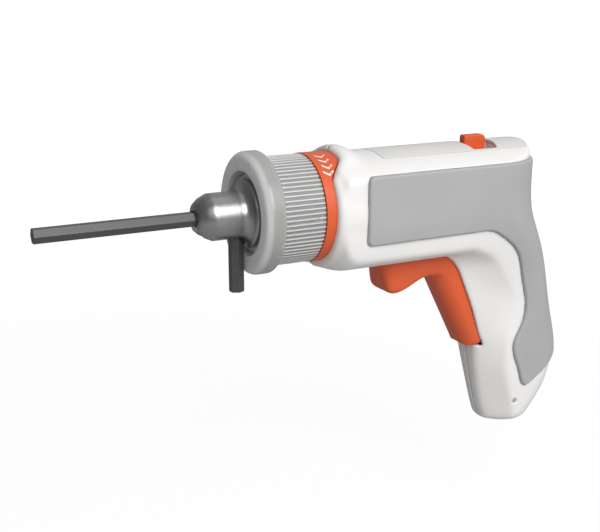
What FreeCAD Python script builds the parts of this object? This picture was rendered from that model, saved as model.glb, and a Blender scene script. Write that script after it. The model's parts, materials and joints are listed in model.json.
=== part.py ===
import FreeCAD, Part
import Sketcher
import math
import os

# Electric screwdriver that turns a hex key: pistol housing, clamping collar, nose, trigger and gear train.
# Millimetres. The origin is the working tip of the hex key, on the spindle axis.
# +X runs back from the tip through the gearbox, +Y is the tool's right side and +Z is up.

V = FreeCAD.Vector
X_AXIS = V(1, 0, 0)
Y_AXIS = V(0, 1, 0)
Z_AXIS = V(0, 0, 1)

# Driving dimensions, one row of the sheet each.
SIZES = {
    # Hex key: flats, tip to the short leg, drop of the short leg, bend at the centre line.
    "key_flats": 6.0,
    "key_reach": 89.6,
    "key_drop": 35.2,
    "key_bend": 9.0,
    "key_play": 0.25,
    # Nose that carries the key, measured from the short leg's centre line.
    "nose_overhang": 19.8,
    "nose_tip_radius": 4.9,
    "nose_taper": 7.0,
    "nose_radius": 10.6,
    "nose_setback": 3.9,
    "nose_disc_radius": 15.4,
    "nose_disc": 2.4,
    "nose_flare": 4.2,
    "nose_chamfer": 1.8,
    "nose_hub_radius": 9.6,
    "nose_hub": 16.6,
    "nose_bore": 4.0,
    "nose_bore_depth": 7.5,
    # Jaw and sleeve that press on the key's short leg.
    "jaw_length": 8.2,
    "jaw_drop": 9.0,
    "jaw_travel": 2.0,
    "jaw_gap": 0.1,
    "sleeve_wall": 1.8,
    "sleeve_length": 3.6,
    "sleeve_setback": 2.0,
    # Clamping collar.
    "collar_setback": 3.7,
    "flange_radius": 27.7,
    "flange_length": 8.6,
    "flange_round": 3.2,
    "flange_back_round": 1.2,
    "recess_radius": 19.2,
    "floor_radius": 17.4,
    "recess_depth": 3.4,
    "web": 3.0,
    "web_bore": 12.4,
    "tube_radius": 24.7,
    "tube_length": 20.4,
    "tube_wall": 2.6,
    "rib_height": 0.55,
    "collar_hub_wall": 2.6,
    "collar_hub_stop": 1.2,
    # Fixed ring with the tab that points at the collar.
    "ring_radius": 25.0,
    "ring_length": 4.9,
    "tab_length": 7.9,
    "tab_half": 19.4,
    "tab_end_half": 11.5,
    "tab_wall": 3.2,
    "tab_root_round": 4.0,
    "tab_end_round": 6.0,
    # Clearances.
    "fit_gap": 0.03,
    "run_gap": 0.08,
    "turn_gap": 0.3,
    "slide_gap": 0.3,
    "overrun": 60.0,
    # Housing: lip round the ring, barrel, grip and butt.
    "wall": 3.2,
    "front_wall": 6.5,
    "lip_radius": 28.2,
    "lip_drop": 0.4,
    "lip_round": 2.6,
    "lip_length": 10.6,
    "lip_blend": 15.5,
    "lip_fall": 4.6,
    "brow_length": 10.0,
    "brow_rise": 5.0,
    "barrel_length": 117.6,
    "barrel_half": 26.0,
    "barrel_flare": 1.6,
    "crown_height": 24.2,
    "crown_radius": 47.0,
    "under_depth": 28.6,
    "under_half": 10.6,
    "under_corner": 20.0,
    "grip_depth": 125.2,
    "grip_half": 17.2,
    "grip_sweep": 23.5,
    "grip_lead": 49.0,
    "grip_front_sweep": 35.0,
    "mouth_half": 11.4,
    "butt_radius": 40.0,
    "butt_lead": 7.2,
    "butt_lift": 0.8,
    "shoulder_round": 2.2,
    "crease_round": 4.0,
    "front_round": 2.5,
    "butt_round": 4.0,
    # Soft side panels.
    "panel_top": 16.6,
    "panel_bottom": 15.0,
    "panel_setback": 14.3,
    "panel_proud": 1.6,
    "panel_seat": 1.2,
    "panel_round": 1.2,
    "panel_corner": 3.0,
    # Top strip and selector.
    "strip_half": 14.2,
    "strip_setback": 29.6,
    "strip_margin": 2.8,
    "strip_seat": 1.4,
    "selector_lead": 34.7,
    "selector_length": 12.6,
    "selector_half": 2.4,
    "selector_crest": 27.4,
    "selector_round": 0.9,
    "selector_back_round": 2.6,
    "selector_travel": 6.5,
    "selector_floor": 19.3,
    "pocket_margin": 2.3,
    "pocket_half": 13.4,
    "pocket_bow": 25.0,
    "foot_inset": 1.8,
    "foot_half": 6.4,
    "foot_height": 1.3,
    "stem_length": 4.0,
    "stem_half": 2.0,
    "stem_drop": 5.2,
    "tray": 2.7,
    "tray_margin": 2.6,
    "tray_half": 16.0,
    "switch_length": 20.0,
    "switch_half": 10.6,
    "switch_height": 2.4,
    # Trigger and its switch.
    "trigger_lead": 85.5,
    "trigger_span": 52.6,
    "trigger_drop": 50.3,
    "trigger_half": 9.9,
    "trigger_round": 5.0,
    "trigger_edge": 8.0,
    "trigger_tip": 3.5,
    "trigger_travel": 5.0,
    "tongue_lead": 72.6,
    "tongue_root": 5.5,
    "tongue_length": 24.0,
    "tongue_half": 6.0,
    "tongue_height": 7.0,
    "plunger_radius": 1.2,
    "plunger_length": 10.0,
    "plunger_height": 1.8,
    "contact_length": 15.0,
    "contact_half": 6.5,
    "contact_height": 11.0,
    "contact_bore": 1.5,
    # Gear case and train.
    "snout_radius": 16.0,
    "snout_bore": 12.0,
    "snout_recess": 14.0,
    "snout_lead": 34.0,
    "bush_radius": 9.0,
    "bush_length": 8.6,
    "bush_spacing": 10.4,
    "spindle_radius": 5.0,
    "case_radius": 20.0,
    "case_wall": 2.8,
    "case_floor": 1.4,
    "ring_gear_length": 20.0,
    "ring_gear_setback": 4.0,
    "gear_module": 0.55,
    "gear_width": 7.0,
    "gear_gap": 0.6,
    "carrier_radius": 13.6,
    "carrier_plate": 2.4,
    "pin_radius": 1.4,
    "shaft_radius": 1.15,
    "plate": 3.0,
    "motor_radius": 13.85,
    "motor_length": 34.0,
    "motor_boss": 5.0,
    "motor_boss_length": 2.4,
    "can_wall": 1.0,
    "rotor_radius": 11.0,
    "rotor_length": 22.0,
    "rotor_setback": 6.0,
    "cap_radius": 13.4,
    "cap_length": 4.0,
    "cap_boss": 4.0,
    "cap_boss_length": 2.0,
    # Battery cell, charge board, socket, light pipe and screws.
    "cell_radius": 9.15,
    "cell_length": 65.0,
    "cell_lead": 4.0,
    "cell_rise": 60.2,
    "lead_thick": 0.3,
    "lead_half": 3.5,
    "lead_length": 12.0,
    "board_rise": 12.7,
    "board_lead": 12.1,
    "board_length": 21.0,
    "board_half": 7.5,
    "board_thick": 1.6,
    "socket_length": 9.5,
    "socket_half": 3.9,
    "socket_height": 2.8,
    "socket_wall": 0.35,
    "socket_overhang": 7.1,
    "socket_tongue": 0.7,
    "light_radius": 1.1,
    "light_lead": 7.2,
    "light_inner": 8.6,
    "light_inset": 0.4,
    "screw_radius": 1.25,
    "screw_head_radius": 2.6,
    "screw_head": 2.2,
    "screw_reach": 8.0,
    "screw_seat": 7.0,
    "front_screw_setback": 19.5,
    "front_screw_rise": 4.6,
    "middle_screw_setback": 29.6,
    "middle_screw_depth": 61.0,
    "low_screw_lead": 13.6,
    "low_screw_rise": 6.5,
    "boss_wall": 1.9,
    "rib": 2.2,
}
RIB_COUNT = 72
SUN_TEETH = 9
PLANET_TEETH = 24
RING_TEETH = SUN_TEETH + 2 * PLANET_TEETH
PLANETS = 3
CELL_RAKE = 8.9
CORNER_LIFT = 60

# Side form: depth down the grip, rearward sweep and narrowing from barrel to grip.
SIDE_SHARES = (
    (-0.27, 0.0, 0.0), (-0.18, 0.0, 0.0), (-0.09, 0.0, 0.0), (0.0, 0.0, 0.0), (0.096, 0.09, 0.06),
    (0.24, 0.42, 0.5), (0.4, 0.66, 0.88), (0.575, 0.88, 1.0), (0.735, 1.0, 1.04), (0.86, 0.79, 1.08),
    (0.94, 0.47, 1.1), (1.04, 0.0, 1.12),
)
# Grip front: depth, rearward sweep, width of the front flat, set-back of the side crease and rounding of the
# front corners.
GRIP_SHARES = (
    (0.04, -1.52, 1.0, 0.51, 0.6), (0.12, -0.875, 1.0, 0.56, 0.6), (0.20, -0.255, 1.0, 0.65, 0.6),
    (0.28, 0.17, 1.0, 0.77, 0.6), (0.36, 0.31, 1.0, 0.87, 0.6), (0.44, 0.43, 1.0, 0.91, 0.7),
    (0.54, 0.545, 0.93, 0.67, 1.0), (0.64, 0.595, 0.70, 0.52, 1.5), (0.74, 0.65, 0.52, 0.485, 2.0),
    (0.84, 0.73, 0.45, 0.50, 2.2), (0.94, 0.83, 0.44, 0.48, 2.2), (1.04, 1.0, 0.44, 0.38, 2.2),
)
FLARE_SHARE = 2.2
# Inner edge of the soft panel down the grip: along the barrel's length, down the grip's depth.
PANEL_SHARES = (
    (0.681, 0.12), (0.775, 0.152), (0.8636, 0.2195), (0.928, 0.359), (0.9605, 0.487), (0.937, 0.567),
    (0.908, 0.627), (0.922, 0.697), (0.952, 0.768), (1.014, 0.808),
)
PANEL_END_SHARES = (1.30, 0.63)
# Trigger: along its span, down its drop, and rounding of each corner, for the shoe above and the blade below.
SHOE_SHARES = (
    (0.021, 0.0, 0.2), (0.1065, 0.388, 1.1), (0.473, 0.207, 1.0), (0.882, 0.207, 0.2), (0.816, 0.0, 0.2),
)
BLADE_SHARES = (
    (0.494, 0.0, 0.2), (0.979, 1.0, 0.9), (1.129, 1.0, 0.5), (1.192, 0.926, 0.5), (0.92, 0.151, 0.4),
    (0.816, 0.0, 0.2),
)
BLADE_FRONT = 2
# Ribs across the barrel, along its length, and shelves across the grip, down its depth.
RIB_SHARES = (0.19, 0.49)
SHELF_SHARES = (0.37, 0.67)
CELL_STOP_SHARE = 0.795
# Nose in front of its straight part: along the taper, out from the tip's radius.
NOSE_SHARES = ((0.13, 0.36), (0.47, 0.71))
# Gear teeth: height above and below the pitch line, width of tip and root.
TIP_SHARE = 0.7
ROOT_SHARE = 1.0
TOOTH_TIP_SHARE = 0.16
TOOTH_ROOT_SHARE = 0.5
SPACE_TIP_SHARE = 0.8
SPACE_ROOT_SHARE = 0.5
GAP_PHASE = 0.5
RIB_TIP_SHARE = 0.22
RIB_ROOT_SHARE = 0.5


class Size(float):
    """A length that carries the sheet expression it comes from."""

    def __new__(cls, value, text):
        made = super().__new__(cls, value)
        made.text = text
        return made

    def __add__(self, other):
        return Size(float(self) + float(other), f"({self.text} + {text_of(other)})")

    def __radd__(self, other):
        return Size(float(other) + float(self), f"({text_of(other)} + {self.text})")

    def __sub__(self, other):
        return Size(float(self) - float(other), f"({self.text} - {text_of(other)})")

    def __rsub__(self, other):
        return Size(float(other) - float(self), f"({text_of(other)} - {self.text})")

    def __mul__(self, other):
        return Size(float(self) * float(other), f"({self.text} * {text_of(other)})")

    def __rmul__(self, other):
        return Size(float(other) * float(self), f"({text_of(other)} * {self.text})")

    def __truediv__(self, other):
        return Size(float(self) / float(other), f"({self.text} / {text_of(other)})")

    def __neg__(self):
        return Size(-float(self), f"(0 - {self.text})")


def text_of(value):
    return value.text if isinstance(value, Size) else repr(float(value))


doc = FreeCAD.newDocument("ElectricScrewdriver")
sheet = doc.addObject("Spreadsheet::Sheet", "Sizes")
for row, (alias, number) in enumerate(SIZES.items(), 1):
    sheet.set(f"A{row}", alias)
    sheet.set(f"B{row}", str(number))
    sheet.setAlias(f"B{row}", alias)
doc.recompute()


class Sheet:
    """Every cell of the sheet as a Size under its alias."""


S = Sheet()
for alias in SIZES:
    setattr(S, alias, Size(float(sheet.get(alias)), f"Sizes.{alias}"))

# Stations along the spindle axis.
X_NOSE = S.key_reach - S.nose_overhang
X_DISC = S.key_reach + S.nose_setback
X_HUB_END = X_DISC + S.nose_disc + S.nose_hub
X_COLLAR = S.key_reach + S.collar_setback
X_TUBE = X_COLLAR + S.flange_length
X_WEB = X_COLLAR + S.recess_depth
X_RING = X_TUBE + S.tube_length + S.turn_gap
X_LIP = X_RING + S.ring_length
X_CASE = X_LIP + S.front_wall
X_SNOUT = X_CASE - S.snout_lead
X_BELL = X_CASE + S.case_floor
X_BUSH = X_SNOUT + S.snout_recess
X_REAR = X_LIP + S.barrel_length
X_GRIP = X_REAR - S.grip_lead
X_PLATE = X_CASE + S.ring_gear_setback + S.ring_gear_length
X_MOTOR = X_PLATE + S.plate
X_MOTOR_END = X_MOTOR + S.motor_length
X_BACK = X_REAR + S.overrun
X_SELECTOR = X_REAR - S.selector_lead
X_POCKET = X_SELECTOR - S.pocket_margin
X_POCKET_END = X_SELECTOR + S.selector_length + S.pocket_margin
X_TRIGGER = X_REAR - S.trigger_lead
X_TONGUE = X_REAR - S.tongue_lead
X_TONGUE_END = X_TONGUE + S.tongue_length
X_CONTACT = X_TONGUE_END + S.trigger_travel + S.slide_gap
X_BOARD = X_REAR - S.board_lead
X_BOARD_END = X_BOARD + S.board_length
Z_TRIGGER = -S.under_depth - S.slide_gap
Z_TONGUE = Z_TRIGGER + S.tongue_height
Z_CROWN = S.crown_height - S.crown_radius
Z_SHELF = -S.under_depth + S.wall
Z_BOARD = -S.grip_depth + S.board_rise
JAW_HALF = S.key_flats / math.sqrt(3) - S.key_play


def bind(obj, **sizes):
    for prop, size in sizes.items():
        obj.setExpression(prop.replace("__", "."), text_of(size))
    return obj


def at(obj, x=0, y=0, z=0, turn=None):
    """Places an object, with its base point bound to the sheet."""
    obj.Placement = FreeCAD.Placement(V(x, y, z), turn or FreeCAD.Rotation())
    return bind(obj, Placement__Base__x=x, Placement__Base__y=y, Placement__Base__z=z)


ALONG_X = FreeCAD.Rotation(Y_AXIS, 90)
ALONG_Y = FreeCAD.Rotation(X_AXIS, -90)


def rod(name, radius, length, x=0, y=0, z=0, turn=ALONG_X):
    obj = doc.addObject("Part::Cylinder", name)
    bind(obj, Radius=radius, Height=length)
    return at(obj, x, y, z, turn)


def block(name, x0, x1, half, z0, z1):
    """A box between two stations and two heights, as wide to the left as to the right."""
    obj = doc.addObject("Part::Box", name)
    bind(obj, Length=x1 - x0, Width=half * 2, Height=z1 - z0)
    return at(obj, x0, -half, z0)


def fuse(name, *objs):
    obj = doc.addObject("Part::MultiFuse", name)
    obj.Shapes = list(objs)
    return obj


def cut(name, base, *tools):
    obj = doc.addObject("Part::Cut", name)
    obj.Base = base
    obj.Tool = tools[0] if len(tools) == 1 else fuse(name + "_tools", *tools)
    return obj


def solid(name, shape):
    """A moulded or toothed form made from its own wires."""
    obj = doc.addObject("Part::Feature", name)
    obj.Shape = shape
    obj.Placement = FreeCAD.Placement()
    return obj


def origin_plane(body, role):
    return next(feature for feature in body.Origin.OriginFeatures if feature.Role == role)


def outline(body, role, corners):
    """A closed sketch of straight sides whose corners are bound to the sheet."""
    sketch = body.newObject("Sketcher::SketchObject", body.Name + "_outline")
    sketch.AttachmentSupport = [(origin_plane(body, role), "")]
    sketch.MapMode = "FlatFace"
    points = [V(u, v, 0) for u, v in corners]
    for i, point in enumerate(points):
        sketch.addGeometry(Part.LineSegment(point, points[(i + 1) % len(points)]))
    for i, (u, v) in enumerate(corners):
        sketch.addConstraint(Sketcher.Constraint("Coincident", i, 2, (i + 1) % len(points), 1))
        for kind, axis, value in (("DistanceX", -2, u), ("DistanceY", -1, v)):
            if float(value) == 0:
                sketch.addConstraint(Sketcher.Constraint("PointOnObject", i, 1, axis))
                continue
            index = sketch.addConstraint(Sketcher.Constraint(kind, -1, 1, i, 1, float(value)))
            sketch.setExpression(f"Constraints[{index}]", text_of(value))
    return sketch


def turned(name, corners):
    """A piece turned about the spindle axis from its half section."""
    body = doc.addObject("PartDesign::Body", name)
    sketch = outline(body, "XZ_Plane", corners)
    feature = body.newObject("PartDesign::Revolution", name + "_turn")
    feature.Profile = sketch
    feature.ReferenceAxis = (sketch, ["H_Axis"])
    body.Tip = feature
    return body


def rounded(body, size, test):
    """Rounds the edges of a body's last feature that the test picks."""
    doc.recompute()
    last = body.Tip
    picked = [f"Edge{i}" for i, edge in enumerate(last.Shape.Edges, 1) if test(edge)]
    feature = body.newObject("PartDesign::Fillet", body.Name + "_round" + str(len(body.Group)))
    feature.Base = (last, picked)
    bind(feature, Radius=size)
    body.Tip = feature
    return body


def is_circle(edge, radius, x):
    """True for a circle about the spindle axis of that radius at that station."""
    box = edge.BoundBox
    near = radius / 100
    return abs(box.ZMax - radius) < near and abs(box.XMin - x) < near and box.XLength < near


def tube(name, inner, outer, x0, x1):
    return turned(name, ((x0, inner), (x0, outer), (x1, outer), (x1, inner)))


# Wires for moulded and toothed forms.


def rounded_wire(corners):
    """Closed wire through corner points, each turned by a tangent arc of its own radius."""
    spans = []
    count = len(corners)
    for i, (corner, radius) in enumerate(corners):
        back = (corners[i - 1][0] - corner).normalize()
        ahead = (corners[(i + 1) % count][0] - corner).normalize()
        half = back.getAngle(ahead) / 2
        reach = radius / math.tan(half)
        middle = (back + ahead).normalize()
        tip = corner + middle * (radius / math.sin(half) - radius)
        spans.append((corner + back * reach, tip, corner + ahead * reach))
    edges = []
    for i, (start, tip, end) in enumerate(spans):
        edges.append(Part.Arc(start, tip, end).toShape())
        edges.append(Part.makeLine(end, spans[(i + 1) % count][0]))
    return Part.Wire(edges)


def toothed_wire(x, count, root, tip, root_share, tip_share, phase=0.0):
    """Closed wire of straight-sided teeth about the spindle axis; phase is in tooth pitches."""
    pitch = 2 * math.pi / count
    points = []
    for i in range(count):
        middle = (i + phase) * pitch
        for radius, share in ((root, -root_share), (tip, -tip_share), (tip, tip_share), (root, root_share)):
            angle = middle + share * pitch / 2
            points.append(V(x, radius * math.sin(angle), radius * math.cos(angle)))
    return Part.makePolygon(points + points[:1])


def circle_wire(x, radius, y=0, z=0):
    return Part.Wire(Part.makeCircle(radius, V(x, y, z), X_AXIS))


def prism(outer, length, *holes):
    """Extrudes a wire along the spindle axis, with holes left open."""
    face = Part.Face([outer, *holes])
    face.validate()
    return face.extrude(V(length, 0, 0))


def slab(wire, half):
    """Extrudes a side view to both sides of the middle plane."""
    made = Part.Face(wire).extrude(V(0, half * 2, 0))
    made.translate(V(0, -half, 0))
    return made


def box_shape(x0, x1, y0, y1, z0, z1):
    return Part.makeBox(x1 - x0, y1 - y0, z1 - z0, V(x0, y0, z0))


def rod_shape(radius, length, base, axis):
    return Part.makeCylinder(radius, length, base, axis)


# Hex key


def hex_key():
    body = doc.addObject("PartDesign::Body", "hex_key")
    path = body.newObject("Sketcher::SketchObject", "hex_key_path")
    path.AttachmentSupport = [(origin_plane(body, "XZ_Plane"), "")]
    path.MapMode = "FlatFace"
    turn = S.key_reach - S.key_bend
    path.addGeometry(Part.LineSegment(V(), V(turn, 0, 0)))
    bend = Part.Circle(V(turn, -S.key_bend, 0), Z_AXIS, S.key_bend)
    path.addGeometry(Part.ArcOfCircle(bend, 0, math.pi / 2))
    path.addGeometry(Part.LineSegment(V(S.key_reach, -S.key_bend, 0), V(S.key_reach, -S.key_drop, 0)))
    path.addConstraint(Sketcher.Constraint("Coincident", 0, 1, -1, 1))
    path.addConstraint(Sketcher.Constraint("Horizontal", 0))
    path.addConstraint(Sketcher.Constraint("Vertical", 2))
    path.addConstraint(Sketcher.Constraint("Tangent", 0, 2, 1, 2))
    path.addConstraint(Sketcher.Constraint("Tangent", 1, 1, 2, 1))
    sized = (
        (Sketcher.Constraint("DistanceX", -1, 1, 2, 2, float(S.key_reach)), S.key_reach),
        (Sketcher.Constraint("DistanceY", -1, 1, 2, 2, -float(S.key_drop)), -S.key_drop),
        (Sketcher.Constraint("Radius", 1, float(S.key_bend)), S.key_bend),
    )
    for constraint, size in sized:
        index = path.addConstraint(constraint)
        path.setExpression(f"Constraints[{index}]", text_of(size))
    corner = S.key_flats / math.sqrt(3)
    section = outline(body, "YZ_Plane", [
        (corner * math.cos(math.pi * i / 3), corner * math.sin(math.pi * i / 3)) for i in range(6)
    ])
    doc.recompute()
    pipe = body.newObject("PartDesign::AdditivePipe", "hex_key_sweep")
    pipe.Profile = (section, [""])
    pipe.Spine = (path, ["Edge1", "Edge2", "Edge3"])
    body.Tip = pipe
    return body


# Nose, jaw and sleeve


def chuck_nose():
    """Turned nose with a channel for the key, open at its front and underside."""
    swell = [(X_NOSE + along * S.nose_taper, S.nose_tip_radius + out * (S.nose_radius - S.nose_tip_radius))
             for along, out in NOSE_SHARES]
    body = turned("nose_blank", (
        (X_NOSE, 0), (X_NOSE, S.nose_tip_radius), *swell, (X_NOSE + S.nose_taper, S.nose_radius),
        (X_DISC, S.nose_radius), (X_DISC, S.nose_disc_radius), (X_DISC + S.nose_disc, S.nose_disc_radius),
        (X_DISC + S.nose_disc, S.nose_hub_radius), (X_HUB_END, S.nose_hub_radius), (X_HUB_END, 0),
    ))
    rounded(body, S.nose_flare, lambda edge: is_circle(edge, S.nose_radius, X_DISC))
    rounded(body, S.nose_chamfer, lambda edge: is_circle(edge, S.nose_radius, X_NOSE + S.nose_taper))
    key_half = S.key_flats / math.sqrt(3) + S.key_play
    channel_end = S.key_reach + S.key_flats / 2 + S.jaw_length + S.jaw_travel + S.slide_gap
    channel = block("key_channel", X_NOSE - S.nose_chamfer, channel_end, key_half,
                    -S.nose_disc_radius - S.nose_chamfer, S.key_flats / 2 + S.key_play)
    bore = rod("spindle_bore", S.nose_bore, S.nose_bore_depth, X_HUB_END - S.nose_bore_depth)
    return cut("chuck_nose", body, channel, bore)


def key_jaw():
    start = S.key_reach + S.key_flats / 2 + S.jaw_gap
    return block("key_jaw", start, start + S.jaw_length, JAW_HALF, -S.jaw_drop, S.key_flats / 2)


def clamp_sleeve():
    start = X_DISC + S.nose_disc + S.sleeve_setback
    inner = S.nose_hub_radius + S.run_gap
    return tube("clamp_sleeve", inner, inner + S.sleeve_wall, start, start + S.sleeve_length)


# Collar and ring


def clamp_collar():
    """Cup with a dished front, a hub that runs on the snout and a ribbed grip tube."""
    inner = S.tube_radius - S.tube_wall
    hub = S.snout_radius + S.run_gap
    hub_end = X_TUBE + S.tube_length - S.collar_hub_stop
    back = X_WEB + S.web
    body = turned("collar_cup", (
        (X_COLLAR, S.recess_radius), (X_COLLAR, S.flange_radius), (X_TUBE, S.flange_radius), (X_TUBE, inner),
        (back, inner), (back, hub + S.collar_hub_wall), (hub_end, hub + S.collar_hub_wall), (hub_end, hub),
        (back, hub), (back, S.web_bore), (X_WEB, S.web_bore), (X_WEB, S.floor_radius),
    ))
    rounded(body, S.flange_round, lambda edge: is_circle(edge, S.flange_radius, X_COLLAR))
    rounded(body, S.flange_back_round, lambda edge: is_circle(edge, S.flange_radius, X_TUBE))
    ribs = toothed_wire(X_TUBE, RIB_COUNT, S.tube_radius - S.rib_height, S.tube_radius, RIB_ROOT_SHARE,
                        RIB_TIP_SHARE)
    grip = solid("collar_grip", prism(ribs, S.tube_length, circle_wire(X_TUBE, inner)))
    return fuse("clamp_collar", body, grip)


def tab_prism(grow):
    """Plan view of the ring's tab, carried up through the top of the ring."""
    slope = math.atan2(S.tab_half - S.tab_end_half, S.tab_length)
    root = S.tab_half + grow / math.cos(slope)
    end = S.tab_end_half + grow * math.tan((math.pi / 2 - slope) / 2)
    corners = (
        (X_RING, S.ring_radius, S.slide_gap), (X_LIP, S.ring_radius, S.slide_gap),
        (X_LIP, root, S.tab_root_round - grow), (X_LIP + S.tab_length + grow, end, S.tab_end_round + grow),
    )
    points = [(V(x, y, 0), turn) for x, y, turn in corners]
    points += [(V(x, -y, 0), turn) for x, y, turn in reversed(corners)]
    return Part.Face(rounded_wire(points)).extrude(V(0, 0, S.overrun))


def ring_shell(inner, outer, x0, x1):
    return rod_shape(outer, x1 - x0, V(x0, 0, 0), X_AXIS).cut(rod_shape(inner, x1 - x0, V(x0, 0, 0), X_AXIS))


def indicator_ring():
    band = ring_shell(S.snout_radius + S.run_gap, S.ring_radius, X_RING, X_LIP)
    arch = ring_shell(S.ring_radius - S.tab_wall, S.ring_radius, X_RING, X_BACK)
    return solid("indicator_ring", band.fuse(arch.common(tab_prism(0))).removeSplitter())


# Housing forms; level is how far a form stands outside the skin.


def grip_half_at(depth):
    """Half width of the side form at a depth share, straight between its stations."""
    for (above, _, narrow_above), (below, _, narrow_below) in zip(SIDE_SHARES, SIDE_SHARES[1:]):
        if depth <= below:
            part = (depth - above) / (below - above)
            narrow = narrow_above + part * (narrow_below - narrow_above)
            return S.barrel_half - narrow * (S.barrel_half - S.grip_half)
    return S.grip_half


def side_form(level):
    """Sides and round back of barrel and grip, as one loft of level sections."""
    front = X_LIP - S.ring_length
    sections = []
    for depth, sweep, narrow in SIDE_SHARES:
        z = -depth * S.grip_depth
        half = S.barrel_half - narrow * (S.barrel_half - S.grip_half) + level
        rear = X_REAR + sweep * S.grip_sweep + level
        centre = rear - half
        bow = half * math.sqrt(0.5)
        wide = half + S.barrel_flare
        corners = [V(front, -wide, z), V(centre, -half, z), V(rear, 0, z), V(centre, half, z),
                   V(front, wide, z)]
        sections.append(Part.Wire([
            Part.makeLine(corners[0], corners[1]),
            Part.Arc(corners[1], V(centre + bow, -bow, z), corners[2]).toShape(),
            Part.Arc(corners[2], V(centre + bow, bow, z), corners[3]).toShape(),
            Part.makeLine(corners[3], corners[4]),
            Part.makeLine(corners[4], corners[0]),
        ]))
    return Part.makeLoft(sections, True, False)


def barrel_form(level, front):
    """Crowned top and rounded underside of the barrel, wider than its sides."""
    half = S.barrel_half + S.under_half
    crown = S.crown_radius + level
    eave = Z_CROWN + math.sqrt(crown ** 2 - half ** 2)
    corner = S.under_corner + level
    floor = -S.under_depth - level
    lift = math.radians(CORNER_LIFT)

    def point(y, z):
        return V(front, y, z)

    def on_corner(angle, side):
        return point(side * (S.under_half + corner * math.sin(angle)), floor + corner * (1 - math.cos(angle)))

    ends = {side: on_corner(lift, side) for side in (-1, 1)}
    edges = [Part.Arc(point(-half, eave), point(0, Z_CROWN + crown), point(half, eave)).toShape()]
    edges.append(Part.makeLine(point(half, eave), point(half, ends[1].z)))
    edges.append(Part.makeLine(point(half, ends[1].z), ends[1]))
    edges.append(Part.Arc(ends[1], on_corner(lift / 2, 1), point(S.under_half, floor)).toShape())
    edges.append(Part.makeLine(point(S.under_half, floor), point(-S.under_half, floor)))
    edges.append(Part.Arc(point(-S.under_half, floor), on_corner(lift / 2, -1), ends[-1]).toShape())
    edges.append(Part.makeLine(ends[-1], point(-half, ends[-1].z)))
    edges.append(Part.makeLine(point(-half, ends[-1].z), point(-half, eave)))
    return Part.Face(Part.Wire(edges)).extrude(V(X_BACK - front, 0, 0))


def grip_form(level):
    """Front flat of the grip and the flanks that open from it to the side crease."""
    sections = []
    for depth, sweep, flat, crease, turn in GRIP_SHARES:
        z = -depth * S.grip_depth
        front = X_GRIP + sweep * S.grip_front_sweep
        half = flat * S.mouth_half
        run = crease * S.barrel_half
        slope = (grip_half_at(depth) - half) / run
        reach = front + run * FLARE_SHARE
        near = front - level
        near_half = half + level * (math.sqrt(1 + slope ** 2) - slope)
        wide = near_half + slope * (reach - near)
        corners = [(near, near_half), (reach, wide), (X_BACK, wide)]
        points = [V(x, -y, z) for x, y in corners] + [V(x, y, z) for x, y in reversed(corners)]
        sections.append(rounded_wire([(point, turn * S.front_round) for point in points]))
    return Part.makeLoft(sections, True, False)


def butt_cutter(level):
    """What lies outside the ball that closes the butt."""
    x = X_REAR - S.butt_lead
    z = -S.grip_depth + S.butt_radius + S.butt_lift
    ball = Part.makeSphere(S.butt_radius + level, V(x, 0, z))
    low = -S.grip_depth - S.butt_radius
    return box_shape(X_LIP, X_BACK, -S.overrun, S.overrun, low, low + S.overrun).cut(ball)


def pistol_form(level, front):
    sides = side_form(level)
    barrel = sides.common(barrel_form(level, front))
    grip = sides.common(grip_form(level))
    return barrel.fuse(grip).removeSplitter().cut(butt_cutter(level))


def soften(shape, size, test):
    """Rounds the edges of a moulded form that the test picks."""
    return shape.makeFillet(size, [edge for edge in shape.Edges if test(edge)])


def housing_skin():
    """Pistol form with its shoulders, creases, grip front and butt rounded."""
    front = X_LIP + S.lip_round
    form = solid("pistol_form", pistol_form(0, front))
    butt_line = -S.grip_depth + S.butt_lift + S.butt_round + S.run_gap
    rounds = []
    for i, edge in enumerate(form.Shape.Edges, 1):
        box = edge.BoundBox
        near = 0 if box.YMin * box.YMax <= 0 else min(abs(box.YMin), abs(box.YMax))
        far = max(abs(box.YMin), abs(box.YMax))
        size = None
        if edge.Degenerated or box.XMax < front + S.run_gap or far < S.run_gap:
            continue
        if box.ZMin > 0:
            size = S.shoulder_round
        elif box.ZMax < butt_line and near < S.grip_half - S.butt_round:
            size = S.butt_round
        elif box.ZMax < 0 and near > S.grip_half - S.butt_round / 2:
            size = S.crease_round
        if size:
            rounds.append((i, float(size), float(size)))
    skin = doc.addObject("Part::Fillet", "pistol_skin")
    skin.Base = form
    skin.Edges = rounds
    doc.recompute()
    return skin.Shape


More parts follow.
